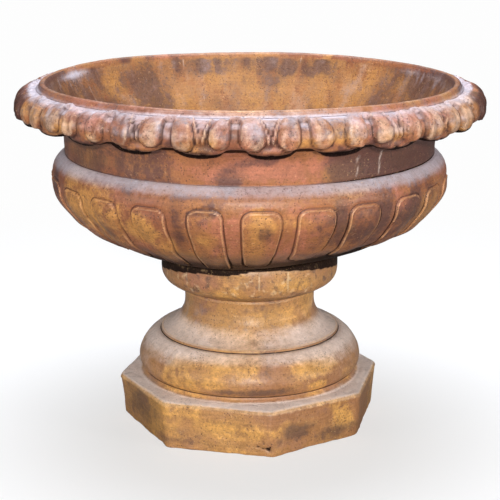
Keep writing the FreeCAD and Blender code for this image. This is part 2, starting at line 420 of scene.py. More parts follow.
def carve_belly(bowl):
    """The raised panels, and the crease that ends the belly at the top."""
    rows, along = bowl.piece("belly")
    # offsets and half-width changes in pitches; top edges and lengths in mm
    shift = set_units(rng.normal(0, 0.018, UNITS), {
        -4: -0.080, -3: -0.075, -2: -0.050, -1: 0.022, 0: 0.020, 1: 0.004, 2: -0.040, 3: 0.040})
    widen = set_units(rng.normal(0, 0.010, UNITS), {
        -2: -0.014, -1: -0.038, 0: -0.006, 1: -0.004, 2: -0.022, 3: 0.0})
    lift = set_units(rng.normal(0, 1.0, UNITS), {
        -3: -1.0, -2: -1.4, -1: 0.5, 0: -0.4, 1: 0.6, 2: 0.2, 3: 0.4})
    taper_left = set_units(0.02 + 0.05 * rng.random(UNITS), {-1: 0.0, 0: 0.0, 1: 0.045})
    taper_right = set_units(0.02 + 0.05 * rng.random(UNITS), {-1: 0.0, 0: 0.09, 1: 0.10})
    lengths = set_units(104.0 + rng.normal(0, 3.0, UNITS), {
        -2: 116.0, -1: 119.0, 0: 107.0, 1: 95.0, 2: 96.0})

    unit, across = unit_of(bowl.angle[rows], PANEL_PHASE)
    across = across - shift[unit]
    below = along[-1] - along                # mm below the crease
    y = below - (31.0 - lift[unit])          # mm below the panel's top edge
    length = lengths[unit]
    taper = np.where(across < 0, taper_left[unit], taper_right[unit])
    half = 0.352 + widen[unit] - taper * smooth(12.0, 95.0, y)
    pitch_mm = bowl.radius[rows] * PITCH
    half_mm = half * pitch_mm
    corner = np.where(y > length / 2, np.minimum(half_mm * 0.98, 24.0),
                      np.minimum(half_mm * 0.92, 11.0))
    dist = inset((half - np.abs(across)) * pitch_mm, np.minimum(y, length - y), corner)
    dist = dist + 0.45 * fractal(bowl.points[rows], 18, 3, 5)

    # groove outside the edge, bead inside it, crowned face; fainter towards the foot
    groove = bump(dist + 1.0, 2.0)
    bead = bump(dist - 1.4, 1.9)
    face = smooth(-0.2, 2.4, dist)
    crown = np.clip(1 - (across / half) ** 2, 0, 1) * smooth(0, 16, dist)
    proud = smooth(length + 2, length - 20, y)
    rib = smooth(1.0, 6.0, -dist) * smooth(0, 10, y) * smooth(0, 12, length - y)
    bowl.relief[rows] += ((-1.4 * groove + face + 0.9 * bead + 1.6 * crown)
                          * (0.55 + 0.45 * proud) - 0.5 * rib)
    # darker in the groove; painted highlight along the bead
    bowl.cavity[rows] += bump(dist + 1.2, 1.9) * 0.85
    bowl.edge[rows] += 0.35 * bead
    bowl.line[rows] = bump(dist - 1.1, 1.45)
    bowl.panel[rows] = smooth(0.5, 3.0, dist)
    # painted shadow on the underside, its edge a little higher to the right and left, and painted
    # shade over the lower belly
    sine, z = np.sin(bowl.angle[rows]), bowl.height[rows]
    limit = 219.0 + np.where(sine > 0, 6.5, 3.0) * smooth(0.25, 0.75, np.abs(sine))
    bowl.cavity[rows] += 1.3 * smooth(limit + 1.5, limit - 2.0, z) + 0.95 * smooth(250, 230, z)
    # crease under the frieze, with a slight bead below it
    bowl.relief[rows] += -1.0 * bump(below, 1.5) + 0.35 * bump(below - 3.2, 2.2)
    bowl.cavity[rows] += 0.7 * bump(below, 1.7)


def carve_frieze(bowl):
    """The upper half of the crease, faint throwing lines and an uneven underside to the roll."""
    rows, along = bowl.piece("frieze")
    z, angle = bowl.height[rows], bowl.angle[rows]
    bead = bump(along - 2.6, 1.5)
    bowl.relief[rows] += (-1.0 * bump(along, 1.5) + 0.45 * bead) * (along > 0)
    bowl.cavity[rows] += 0.7 * bump(along, 1.7) * (along > 0)
    bowl.edge[rows] += 0.35 * bead
    lines = 0.10 * np.sin(z * 1.9 + 0.6 * np.sin(angle * 2.0))
    bowl.relief[rows] += lines * smooth(3, 9, along) * smooth(40, 30, along)
    bowl.relief[rows] += smooth(24, 44, along) * 0.8 * fractal(bowl.points[rows], 22, 3, 8)


def leaf_lobes(at):
    """Two domed lobes in each unit, left and right: height, dirt with painted shade round them, and
    wear with painted highlights.
    """
    shift = rng.normal(0, 0.010, (2, UNITS))
    widen = rng.normal(0, 0.011, (2, UNITS))
    tops = 1.6 + rng.normal(0, 0.8, (2, UNITS))
    feet = 41.2 + rng.normal(0, 1.3, (2, UNITS))
    domes = 6.1 + rng.normal(0, 0.55, (2, UNITS))
    unit, q = at.unit, at.down
    height = dirt = wear_and_highlight = np.zeros(q.shape)
    for side, sign in enumerate((-1.0, 1.0)):
        top, foot = tops[side][unit], feet[side][unit]
        t = np.clip((q - top) / (foot - top), 0, 1)
        inner = 0.172 - 0.082 * smooth(0.0, 0.72, t)
        outer = 0.414 + 0.024 * smooth(0.0, 0.3, t)
        half = ((outer - inner) / 2 + widen[side][unit]) * LEAF_PITCH_MM
        x = (at.across * sign - ((inner + outer) / 2 + shift[side][unit])) * LEAF_PITCH_MM
        middle = (top + foot) / 2
        corner = np.minimum(half * 0.98, np.where(q > middle, 11.0, 8.0))
        dist = inset(half - np.abs(x), (foot - top) / 2 - np.abs(q - middle), corner)
        dome = np.clip(1 - (1 - np.clip(dist / 6.5, 0, 1)) ** 2, 0, 1) ** 0.55
        lobe = domes[side][unit] * dome * (0.60 + 0.45 * smooth(0.0, 0.7, t))
        # a soft hollow down the middle of some lobes, a curled lip at the foot of others
        hollow = np.sin(unit * 2.4 + side * 1.7) > -0.2
        lobe = lobe - (2.0 * hollow * bump(x - 0.8 * sign, 3.6)
                       * smooth(0.05, 0.3, t) * smooth(1.0, 0.66, t))
        lip = np.sin(unit * 5.1 + side * 2.9) > 0.1
        lobe = lobe + 1.5 * lip * bump(dist - 3.0, 2.2) * smooth(0.50, 0.8, t)
        height = np.maximum(height, lobe)
        broken = np.clip(0.62 + 1.1 * at.mottle, 0.12, 1.0)
        # dirt and painted shade just outside each lobe's outline
        dirt = np.maximum(dirt, 0.84 * bump(dist + 0.4, 1.3) * smooth(0.5, 9.0, q) * broken
                          * (0.62 + 0.38 * smooth(16, 32, q)))
        # wear on the lobes' rims, painted highlights on their domes
        wear_and_highlight = strongest(
            wear_and_highlight, 0.75 * bump(dist - 3.0, 2.6) * np.clip(0.5 + 1.6 * at.speckle, 0, 1),
            0.95 * smooth(2.0, 7.0, dist) * smooth(0.25, 0.5, t)
            * np.clip(0.45 + 1.3 * at.mottle, 0, 1))
    return height, dirt, wear_and_highlight


def leaf_calyx(at):
    """Between the lobes, two ridges closing downwards or a plain swelling."""
    q, x = at.down, at.across * LEAF_PITCH_MM
    closing = 0.145 - 0.108 * smooth(-0.1, 1.0, np.clip((q - 3.0) / 31.0, 0, 1))
    from_ridge = (at.off - closing) * LEAF_PITCH_MM
    ridge = bump(from_ridge, 2.1) * smooth(1.0, 5.0, q) * smooth(38.0, 31.0, q)
    channel = smooth(0.5, -2.0, from_ridge) * smooth(3, 9, q) * smooth(40, 31, q)
    ridged = smooth(0.62, 0.52, at.kind)
    swelling = bump(x, 9.5) * smooth(2.0, 14.0, q) * smooth(46, 34, q)
    flank = smooth(2, 6, q)
    plain = (3.0 * swelling - 1.4 * bump(x - 7.4, 1.3) * flank * smooth(30, 20, q)
             + 1.2 * bump(x - 9.0, 1.6) * flank * smooth(34, 26, q))
    height = ridged * (4.4 * ridge - 1.0 * channel) + (1 - ridged) * plain
    # dirt and painted shade at the ridges' feet
    foot_of_ridge = np.maximum(0.62 * bump(from_ridge + 2.4, 1.7),
                               0.50 * bump(from_ridge - 2.6, 1.5))
    dirt = ridged * foot_of_ridge * smooth(5, 11, q) * smooth(40, 32, q)
    # painted highlight along the ridges
    return height * at.ground, dirt, 0.62 * ridged * ridge


def leaf_horseshoe(at):
    """Over the gap between two units, a horseshoe and the recess it frames."""
    q, gap = at.down, (0.5 - at.off) * LEAF_PITCH_MM
    ellipse = (np.sqrt((gap / 6.6) ** 2 + (np.minimum(q - 15.0, 0) / 10.0) ** 2) - 1.0) * 6.6
    arch = bump(ellipse - 0.8, 3.6) * smooth(17.0, 12.0, q) * smooth(1.0, 4.0, q)
    recess = smooth(1.2, -2.6, ellipse) * smooth(8.0, 12.0, q) * smooth(44.0, 33.0, q)
    lower = smooth(5.6, 3.2, gap) * smooth(36.0, 30.0, q) * smooth(10, 13, q)
    depth = 3.0 * np.maximum(recess * smooth(6.6, 4.0, gap), 0.6 * lower)
    # dirt and painted shade in the recess and round the horseshoe
    dirt = (0.55 * recess * smooth(14, 9, q)
            + 0.5 * bump(ellipse + 0.6, 1.6) * smooth(8, 11, q) * smooth(40, 32, q))
    window = smooth(6.6, 4.6, gap) * smooth(9.0, 11.5, q) * smooth(21.0, 17.0, q)
    return 4.6 * arch, depth, dirt, window


def scallop_arc(off):
    """The curve of a scallop, 1 at a unit's centre and 0 from SCALLOP outwards."""
    return np.sqrt(np.clip(1 - (off / SCALLOP) ** 2, 0, 1)) ** 0.8


def hang_scallops(bowl, rows, off, drop, near, cut):
    """Pull the lower edge down and out at the scallops, and in between them by cut."""
    bowl.rise[rows] += 0.6 * near * smooth(SCALLOP, 0.46, off) - drop * near
    bowl.spread[rows] += (3.0 * scallop_arc(off) * near
                          - 9.0 * smooth(SCALLOP - 0.02, 0.43, off) * cut)


def carve_roll(bowl):
    """The leaf roll round the rim; down is mm below the step under the crest."""
    rows, along = bowl.piece("roll")
    points, angle = bowl.points[rows], bowl.angle[rows]
    unit, across = unit_of(angle, LEAF_PHASE)
    sway, ripple = fractal(points, 34, 2, 3), fractal(points + 400, 15, 2, 4)
    across = across + 0.020 * sway + 0.006 * ripple
    q = along[-1] - along + 1.5 * ripple
    at = SimpleNamespace(
        unit=unit, across=across, off=np.abs(across), down=q, ground=smooth(1.5, 7.0, q),
        mottle=fractal(points + 800, 24, 3, 14), speckle=fractal(points + 1200, 12, 3, 15))
    lobes, lobe_dirt_and_shade, lobe_wear_and_highlight = leaf_lobes(at)
    kinds = set_units(rng.random(UNITS), {-2: 0.35, -1: 0.2, 0: 0.1, 1: 0.95, 2: 0.45, 3: 0.3})
    at.kind = kinds[unit]
    calyx, calyx_dirt_and_shade, calyx_highlight = leaf_calyx(at)
    arch, depth, gap_dirt_and_shade, bowl.window[rows] = leaf_horseshoe(at)
    height = strongest(lobes, calyx, arch) - depth
    dirt = strongest(lobe_dirt_and_shade, calyx_dirt_and_shade, gap_dirt_and_shade)
    wear_and_highlight = np.maximum(lobe_wear_and_highlight, calyx_highlight)

    # the scallops along the lower edge, some notched
    arc = scallop_arc(at.off)
    notch = 1.4 * bump(across * LEAF_PITCH_MM - 1.0, 2.6) * (at.kind < 0.5)
    drop = (4.4 * arc - notch) * (1 + 0.10 * rng.normal(0, 1, UNITS))[unit]
    hang_scallops(bowl, rows, at.off, drop, smooth(35.0, 46.5, q), smooth(41.0, 50.0, q))
    height = np.maximum(height, 1.6 * arc * smooth(37.0, 42.0, q))
    height = height + 0.5 * fractal(points, 19, 3, 12) * at.ground

    # painted shade where the relief is lower than its surroundings, and speckled dirt; painted
    # highlights on high places
    mean = box_mean(height, 5, 4)
    dirt = dirt + 0.46 * np.clip((mean - height - 0.25) / 2.2, 0, 1) * smooth(3.0, 9.0, q)
    dirt = dirt + 0.30 * smooth(0.40, 0.75, 0.5 + at.speckle) * smooth(8, 20, q)
    high = np.clip((height - mean - 0.5) / 2.0, 0, 1)
    wear_and_highlight = wear_and_highlight + 0.45 * high * np.clip(0.7 + at.speckle, 0, 1)
    # near the lower edge relief goes outwards, not down
    sideways = smooth(38.0, 46.0, q)
    bowl.relief[rows] += height * (1 - sideways)
    bowl.spread[rows] += height * sideways * 0.8
    bowl.cavity[rows] += np.minimum(dirt, 0.86)
    bowl.edge[rows] += wear_and_highlight
    # painted shadow under the lip, a little higher at the left and right, and painted shade on the
    # scallops' lower halves
    lean = np.maximum(np.arctan(3.73 * np.abs(np.cos(angle))), math.radians(58))
    limit = 49.0 - 15.0 * (math.pi / 2 - lean) - smooth(0.4, 0.9, np.abs(np.sin(angle)))
    bowl.cavity[rows] += (1.2 * smooth(limit + 0.6, limit + 3.4, q)
                          + 0.70 * arc * smooth(39.0, 45.0, q))


def carve_underside(bowl):
    """The top of the frieze follows the scallops above it."""
    rows, along = bowl.piece("frieze")
    rows = slice(rows.start, rows.stop - 1)  # its last row is the roll's first, already moved
    off = np.abs(unit_of(bowl.angle[rows], LEAF_PHASE)[1])
    near = smooth(along[-1] - 15, along[-1], along)[:-1] ** 1.3
    hang_scallops(bowl, rows, off, 4.4 * scallop_arc(off), near, near)


def carve_crest(bowl):
    rows, along = bowl.piece("crest")
    bowl.cavity[rows] += bump(along, 2.2) * 0.75
    # rubbed wear and painted highlight along the top of the crest
    bowl.edge[rows] += bump(bowl.height[rows] - 411.5, 2.4) * 0.5
    bowl.rise[rows] += 0.55 * fractal(bowl.points[rows], 26, 3, 17) * smooth(0, 3, along)


def warp_bowl(bowl):
    """Surface grain, the slight warp of the firing, and the sag of the belly."""
    rows, _ = bowl.piece("inside")
    bowl.relief[rows] += 0.8 * fractal(bowl.points[rows], 75, 3, 20)
    bowl.relief += 0.50 * fractal(bowl.points, 55, 3, 30)
    bowl.relief += 0.15 * fractal(bowl.points, 7.0, 3, 33)
    angle, z, radius = bowl.angle, bowl.height, bowl.radius
    rim = smooth(330, 400, z) * smooth(195, 215, radius)
    bowl.spread += (0.8 * np.sin(2 * angle + 0.6) + 0.45 * np.sin(3 * angle + 2.1)) * rim
    bowl.rise += (0.6 * np.sin(2 * angle + 1.9) + 0.45 * np.sin(5 * angle)) * rim
    bowl.rise += 1.5 * np.exp(-((np.degrees(np.mod(angle, TAU)) - 222.0) / 26.0) ** 2) * rim
    # the belly's underside sags at the front left and is drawn up at the front right
    turn = np.degrees(np.arctan2(np.sin(angle), np.cos(angle)))
    sag = -2.7 * np.exp(-((turn + 10.0) / 27.0) ** 2) + 1.6 * np.sin(2 * angle)
    bowl.rise += sag * smooth(264, 236, z) * smooth(105, 138, radius) * (z < 300)


def build_bowl():
    profile, spans = bowl_profile()
    rows = len(profile)
    bowl = Skin(profile[:, :1], profile[:, 1:], bowl_angles(rows, spans), profile, spans)
    for carve in (carve_belly, carve_frieze, carve_roll, carve_underside, carve_crest, warp_bowl):
        carve(bowl)
    belly, frieze, inside = (spans[name][0] for name in ("belly", "frieze", "inside"))
    inside_end = spans["inside"][1]
    moved = np.zeros((rows, 1))              # the seat, boss and bore stay true
    moved[belly - 1:inside_end - 3] = 1
    bowl.displace(moved)
    stride = np.ones(rows, int)
    stride[:belly - 3] = 4
    stride[belly - 3:belly + 7] = 2
    stride[frieze + 6:frieze + 12] = 2
    stride[inside + 3:] = 2
    stride[inside_end - 12:] = 4
    bowl.cast("bowl_casting", stride)
    return bowl


# ============================================================================================
# pedestal and seat ring
# ============================================================================================
def octagon(angle, corners, soft):
    """Distance from the axis to an octagon's sides; soft rounds off the corners."""
    turn, reach = np.array(corners).T
    xy = turned(reach, reach, np.radians(turn))[:, :2]
    total = np.zeros_like(angle)
    for i in range(len(xy)):
        dx, dy = xy[(i + 1) % len(xy)] - xy[i]
        normal = np.array([dy, -dx]) / math.hypot(dx, dy)
        distance = normal @ xy[i]
        facing = normal[0] * np.sin(angle) - normal[1] * np.cos(angle)
        if distance < 0:
            distance, facing = -distance, -facing
        reach = np.where(facing > 0.2, distance / np.maximum(facing, 0.2) - 150.0, 400.0)
        total += np.exp(-reach / soft)
    return 150.0 - soft * np.log(total)


def pedestal_profile():
    """The turned part, from the lip of the hollow out over the seat and down to the plinth."""
    return chain(
        lip=resample([CORE[-1], (56.6, 206.0), (59.0, SEAT_Z)], 3),
        seat=straight((59.0, SEAT_Z), (99.5, SEAT_Z), 4),
        collar=resample([(99.5, SEAT_Z)] + COLLAR, 32),
        collar_foot=straight(COLLAR[-1], WAIST[0], 2),
        waist=resample(WAIST, 30, [(0, 2.0), (0.1, 1), (0.85, 1), (1, 2.0)]),
        step=straight(WAIST[-1], TORUS[0], 3),
        torus=resample(TORUS, 40),
        foot=resample([TORUS[-1], (129.2, 58.8), (131.4, 56.6), (135.0, PLINTH_H)], 7))


TOP_ROWS, ARRIS_ROWS, SIDE_ROWS, FOOT_ROWS, UNDER_ROWS = 8, 6, 23, 5, 4


def plinth_rings(angle):
    """(radius, height) grids: over the top, the arris, down the side, the foot, underneath."""
    def steps(n):
        return np.linspace(0, 1, n + 1)[1:, None]
    top = octagon(angle, TOP_CORNERS, 2.0)
    bottom = octagon(angle, FOOT_CORNERS, 1.8)
    worn = fractal(turned(150.0, 0 * angle, angle), 60, 3, 41)
    arris = PLINTH_ARRIS * (1.0 + 0.35 * worn)
    shoulder = PLINTH_H - 0.8
    t = steps(TOP_ROWS)
    quarter = steps(ARRIS_ROWS) * math.pi / 2
    side_top = shoulder - arris * 0.9
    side = side_top + (PLINTH_FOOT - side_top) * steps(SIDE_ROWS)
    foot = steps(FOOT_ROWS) * math.pi / 2
    inset_foot = bottom - PLINTH_FOOT
    return [
        (135.0 + (top - arris - 135.0) * t, PLINTH_H - 0.8 * t * smooth(0.0, 1.0, t)),
        (top - arris + arris * np.sin(quarter), shoulder - arris * 0.9 * (1 - np.cos(quarter))),
        (bottom + (top - bottom) * side / PLINTH_H, side),
        (bottom - PLINTH_FOOT * (1 - np.cos(foot)), PLINTH_FOOT * (1 - np.sin(foot))),
        (inset_foot + (124.0 - inset_foot) * steps(UNDER_ROWS), 0.0)]


# height of the lower edge of the painted shadow under the bowl, on the collar: (degrees from the
# front, mm)
COLLAR_SHADOW = [
    (-180, 203), (-140, 201), (-118, 195), (-104, 188), (-84, 186), (-54, 193), (-34, 197.5),
    (-14.5, 198.3), (-5, 201.3), (2, 204), (18, 204), (35.7, 200.5), (59.5, 195), (80, 189),
    (100, 190), (122, 198), (150, 203), (180, 203)]


def carve_turning(ped):
    """Incised lines, beads, dirt and the painted shadow under the bowl, on the turned part."""
    rows, along = ped.piece("collar")
    to_end = along[-1] - along
    ped.relief[rows] += -0.5 * bump(to_end, 1.5)
    ped.edge[rows] += bump(along - 9.0, 5.0) * 0.3
    turn = np.degrees((ped.angle[rows] + math.pi) % TAU - math.pi)
    limit = np.interp(turn, *zip(*COLLAR_SHADOW)) + 0.8 * fractal(ped.points[rows], 14, 3, 58)
    # a dark crease at the collar's foot, and the painted shadow under the bowl on its upper part
    ped.cavity[rows] += (bump(to_end, 2.4)
                         + 1.3 * smooth(limit - 0.4, limit + 0.9, ped.height[rows]))
    # the seat a little darker; its outer edge painted dark with the shadow
    ped.cavity[:rows.start] += 0.2
    ped.cavity[rows.start] += 1.3

    rows, along = ped.piece("waist")
    ped.cavity[rows] += bump(along, 1.6) * 0.9
    ped.relief[rows] += -0.9 * bump(along - 0.4, 1.5) + 0.45 * bump(along - 3.0, 2.0)
    ped.edge[rows] += bump(along - 3.0, 2.0) * 0.6 + bump(along[-1] - along - 1.2, 2.2)

    rows, _ = ped.piece("step")
    ped.cavity[rows] += 0.45

    rows, along = ped.piece("torus")
    ped.cavity[rows] += 0.9 * bump(along, 1.5) + 0.7 * bump(along[-1] - along, 2.6)
    ped.relief[rows] += -0.8 * bump(along - 0.4, 1.6)

    rows, along = ped.piece("foot")
    ped.cavity[rows] += 0.5 * bump(along, 2.0)


def roughen_pedestal(ped, moved, core, on_plinth):
    """Hand-finished waves, dents and grain; a worn lower edge and a chip at the front corner."""
    points = ped.points
    soft, mid = fractal(points, 48, 3, 50), fractal(points, 17, 3, 51)
    amount = np.ones(moved.shape)
    amount[core:] = 0.6
    grain = (0.6 * soft + 0.25 * mid + 0.14 * fractal(points, 6.0, 3, 52)) * amount
    low = smooth(9.0, 1.0, ped.height) * np.clip(fractal(points, 20, 3, 60) + 0.12, 0, 1)
    # mm round the plinth from the front corner
    around = (ped.angle - PLINTH_TURN) * 155.0
    around = (around + 155 * math.pi) % (155 * TAU) - 155 * math.pi
    chip = bump((around + 1.0) / 4.6, 1.0) * bump((ped.height - 9.0) / 4.0, 1.0) * on_plinth
    crack_z = 11.2 + 1.6 * np.sin(around * 0.35) + 0.07 * around
    crack = (bump(ped.height - crack_z, 1.5) * smooth(-17.0, -13.0, around)
             * smooth(2.5, 0.5, around) * on_plinth)
    ped.relief += moved * (grain + on_plinth * (0.9 * soft + 0.35 * mid - 1.6 * low)
                           - 2.2 * chip - 1.3 * crack)
    ped.cavity += 1.2 * chip + 1.1 * crack


def build_pedestal():
    columns = 8 * 66
    side = np.arange(columns) / columns * 8
    fraction = side - np.floor(side)
    # columns closer together at the plinth's corners
    eased = fraction - 0.085 * np.sin(TAU * fraction)
    angle = (np.floor(side) + eased) / 8 * TAU + PLINTH_TURN
    profile, spans = pedestal_profile()
    hollow = resample(CORE, 34)[:-1]         # its last ring is the first ring of the lip
    parts = [(profile[:, :1], profile[:, 1:]), *plinth_rings(angle),
             (hollow[:, :1], hollow[:, 1:])]
    grids = [np.stack(np.broadcast_arrays(radius, z, angle)) for radius, z in parts]
    ped = Skin(*np.concatenate(grids, axis=1), profile, spans)

    arris = len(profile) + TOP_ROWS          # first rows of the plinth's parts
    under = arris + ARRIS_ROWS + SIDE_ROWS + FOOT_ROWS
    core = under + UNDER_ROWS
    moved = np.ones((len(ped.radius), 1))    # the seat and the underside stay true
    moved[:spans["collar"][0] + 2] = 0.0
    moved[under:core + 1] = 0.0
    on_plinth = np.zeros_like(moved)
    on_plinth[len(profile):under + 1] = 1.0
    carve_turning(ped)
    worn = bump(np.linspace(-1, 1, ARRIS_ROWS + 2), 1.3)[:, None]
    ped.edge[arris - 1:arris + ARRIS_ROWS + 1] += worn * 0.8
    roughen_pedestal(ped, moved, core, on_plinth)
    ped.displace(outward=-1.0)
    ped.height[:] = np.maximum(ped.height, 0.0)
    ped.height[under:core] = 0.0
    stride = np.ones(len(ped.radius), int)
    stride[:4] = 2
    stride[under + 3:] = 2
    ped.cast("pedestal_casting", stride)
    return ped


def build_ring():
    """A flat ring of bedding with ragged edges, between pedestal and bowl."""
    bottom, top = SEAT_Z, BOWL_SEAT_Z
    low, middle, high = bottom + 0.8, bottom + 1.5, bottom + 2.2
    profile, _ = chain(
        base=straight((63.0, bottom), (96.0, bottom), 4),
        outer=resample([(96.0, bottom), (96.9, low), (97.0, middle), (96.9, high), (96.0, top)], 6),
        top=straight((96.0, top), (63.0, top), 4),
        inner=resample([(63.0, top), (62.1, high), (62.0, middle), (62.1, low), (63.0, bottom)], 6))
    profile = profile[:-1]                   # the last point is the first again
    ring = Skin(profile[:, :1], profile[:, 1:], np.linspace(0, TAU, 180, endpoint=False))
    ragged = np.clip(0.9 + 1.6 * fractal(ring.points, 14, 4, 70), 0, 3) * 0.8
    ring.spread = np.where(ring.radius > 80, -1, 1) * ragged
    ring.displace()
    ring.cast("seat_bedding")
    return ring


# ============================================================================================
# masks for the clay
# ============================================================================================
def patches(points, spots, seed, scale=38.0):
    """Soft marks: (angle deg, height, half-width deg, half-height, strength) for each."""
    heading = heading_of(points)
    wobble_x = 0.55 * fractal(points, scale, 4, seed)
    wobble_y = 0.55 * fractal(points + 900, scale, 4, seed + 5)
    total = np.zeros(heading.shape)
    for angle, z, half_width, half_height, strength in spots:
        x = ((heading - angle + 180) % 360 - 180) / half_width + wobble_x
        y = (points[..., 2] - z) / half_height + wobble_y
        total = np.maximum(total, strength * np.exp(-(x * x + y * y) * 1.2))
    return total


def blotches(points, scale, seed, low, high):
    return smooth(low, high, fractal(points, scale, 4, seed))


def streaks(skin, lines):
    """Narrow runs: (angle deg, top z, bottom z, half-width mm, strength) for each."""
    wiggle = 1.6 * fractal(skin.points * np.array([0.2, 0.2, 1.0]), 16, 2, 95)
    z = skin.height
    total = np.zeros(z.shape)
    for angle, top, bottom, width, strength in lines:
        turn = (skin.heading - angle + 180) % 360 - 180
        run = bump(turn * math.pi / 180 * skin.radius + wiggle, width)
        total = np.maximum(total, strength * run * smooth(top + 3, top - 2, z)
                           * smooth(bottom - 4, bottom + 6, z))
    return total


def frieze_eave(bowl):
    """Height (mm) on the frieze above which the shadow under the roll is painted; it follows where
    the scalloped edge of the roll cuts off the view.

    Sight lines come from 1665 mm in front of the axis; the back mirrors the front."""
    def slope(radius, degrees):
        turn = np.radians(degrees)
        return radius * np.sin(turn) / (1665.0 - radius * np.cos(turn))

    def mirrored(degrees):
        return np.where(back, np.sign(degrees) * (180.0 - np.abs(degrees)), degrees)
    first, last = bowl.spans["frieze"]
    rows = slice(first, last + 4)
    heading = bowl.heading[rows]
    back = np.abs(heading) > 90.0
    frieze_turn, roll_turn = np.linspace(-90.0, 90.0, 721), np.linspace(-75.0, 75.0, 6001)
    seen = np.interp(slope(218.0, frieze_turn), slope(268.0, roll_turn), roll_turn)
    above = np.radians(mirrored(np.interp(mirrored(heading), frieze_turn, seen)))
    arc = scallop_arc(np.abs(unit_of(above, LEAF_PHASE)[1]))
    overhang = 266.0 * np.abs(np.cos(above)) - 218.0 * np.abs(np.cos(np.radians(heading)))
    eave = np.full(bowl.height.shape, 900.0)   # out of reach everywhere else
    eave[rows] = 365.6 - 8.6 * arc - 0.09 * np.maximum(overhang - 48.0, 0)
    return eave


def shade_bowl_sides(bowl):
    """Painted shade: darken the outer left and right of the rim, and the frieze and belly to the
    sides; less painted highlight at the rim's ends.
    """
    z, frieze = bowl.height, bowl.spans["frieze"]
    end = (smooth(0.88, 0.97, np.abs(bowl.sine)) * smooth(330, 350, z)
           * smooth(250, 256, bowl.radius))
    bowl.edge *= 1 - 0.85 * end
    bowl.cavity = np.maximum(bowl.cavity * (1 - 0.25 * end),
                             0.78 * end * smooth(0.98, 0.7, bowl.up))
    right, left = smooth(0.22, 0.62, bowl.sine), smooth(0.30, 0.75, -bowl.sine)
    rows = slice(frieze[0], frieze[1] + 1)
    bowl.cavity[rows] += (0.58 * right + 0.22 * left)[rows]
    low = 0.42 * right * smooth(306, 284, z) * smooth(200, 215, z)
    bowl.cavity[:frieze[0]] += low[:frieze[0]]


GOLD_SPOTS = [
    (-50, 285, 16, 42, 1.0), (-32, 276, 7, 26, 1.0), (-12, 270, 5, 22, 0.55),
    (60, 280, 12, 30, 0.7), (26, 283, 6, 20, 0.6), (-55, 345, 22, 14, 0.6),
    (3, 290, 6, 18, 0.75), (12, 292, 3, 12, 0.5), (-62, 392, 12, 12, 0.9),
    (48, 385, 14, 12, 0.6), (20, 390, 5, 14, 0.9), (-12, 378, 6, 8, 0.5),
    (-48, 388, 9, 14, 0.85), (-38, 380, 5, 10, 0.6), (-24, 384, 4, 10, 0.5),
    (12, 384, 4, 10, 0.7), (33, 386, 6, 12, 0.7)]
# the marks at -84 and 84 degrees are painted shade on the rim's ends
DARK_SPOTS = [
    (-20, 285, 3.4, 52, 0.72), (-15, 318, 12, 7, 0.5), (38.6, 285, 4.5, 42, 0.95),
    (24.6, 285, 3.2, 44, 0.9), (32, 276, 15, 40, 0.72), (50, 286, 10, 38, 0.85),
    (34, 336, 16, 16, 0.75), (50, 345, 10, 20, 0.8), (-84, 388, 18, 26, 1.0),
    (-28, 385, 10, 12, 0.6), (84, 372, 16, 16, 1.0), (-35, 345, 6, 14, 0.7),
    (-24, 352, 4, 10, 0.5), (-2, 352, 10, 6, 0.35), (-72, 300, 5, 40, 0.7),
    (60, 300, 4, 40, 0.6), (-9, 262, 4, 12, 0.5)]
INSIDE_DARK_SPOTS = [            # heights squeezed with the points, see TALL
    (-143, 82, 13, 12, 0.95), (-125, 78, 14, 10, 0.85), (-110, 76, 10, 12, 0.75),
    (112, 78, 14, 11, 0.75), (128, 80, 12, 12, 0.70), (150, 85, 5, 5, 0.5),
    (-172, 82, 7, 3, 0.5), (128, 73, 6, 8, 0.5)]
RED_SPOTS = [
    (8, 300, 18, 16, 0.8), (6, 345, 32, 18, 0.95), (10, 385, 60, 25, 0.6),
    (-4, 270, 5, 26, 0.85), (7, 262, 6, 24, 0.8), (14, 275, 3, 26, 0.8)]
BLOOM_SPOTS = [(104, 405, 10, 12, 0.22), (-112, 402, 8, 9, 0.6), (120, 405, 8, 8, 0.25)]
BOWL_RUNS = [
    (31.5, 356, 332, 2.0, 0.8), (39.5, 358, 330, 2.4, 0.8), (22.0, 404, 388, 2.0, 0.9),
    (-158, 408, 385, 1.6, 0.9), (163, 409, 396, 1.4, 0.7), (72, 350, 330, 3.0, 0.5),
    (-118, 402, 360, 2.0, 0.5), (205, 404, 376, 1.2, 0.4)]
TALL = np.array([1.0, 1.0, 0.22])  # squeezes z, so that marks are drawn out downwards


def bowl_zones(bowl):
    """Column masks of the bowl's parts."""
    def rows(first, end):
        mask = np.zeros((len(bowl.height), 1))
        mask[first:end] = 1.0
        return mask
    spans = bowl.spans
    frieze, crest = spans["frieze"][0], spans["crest"][0]
    roll, roll_end = spans["roll"]
    inside = rows(spans["inside"][0] + 1, None)
    return SimpleNamespace(
        inside=inside, outside=1.0 - inside, roll=rows(roll, roll_end + 1),
        crest=rows(crest + 1, spans["crest"][1] + 2), belly=rows(0, frieze + 1),
        frieze=rows(frieze, roll + 1),
        step=(rows(roll_end - 2, crest + 1) + 0.8 * rows(crest + 1, crest + 2)
              + 0.4 * rows(crest + 2, crest + 4)))


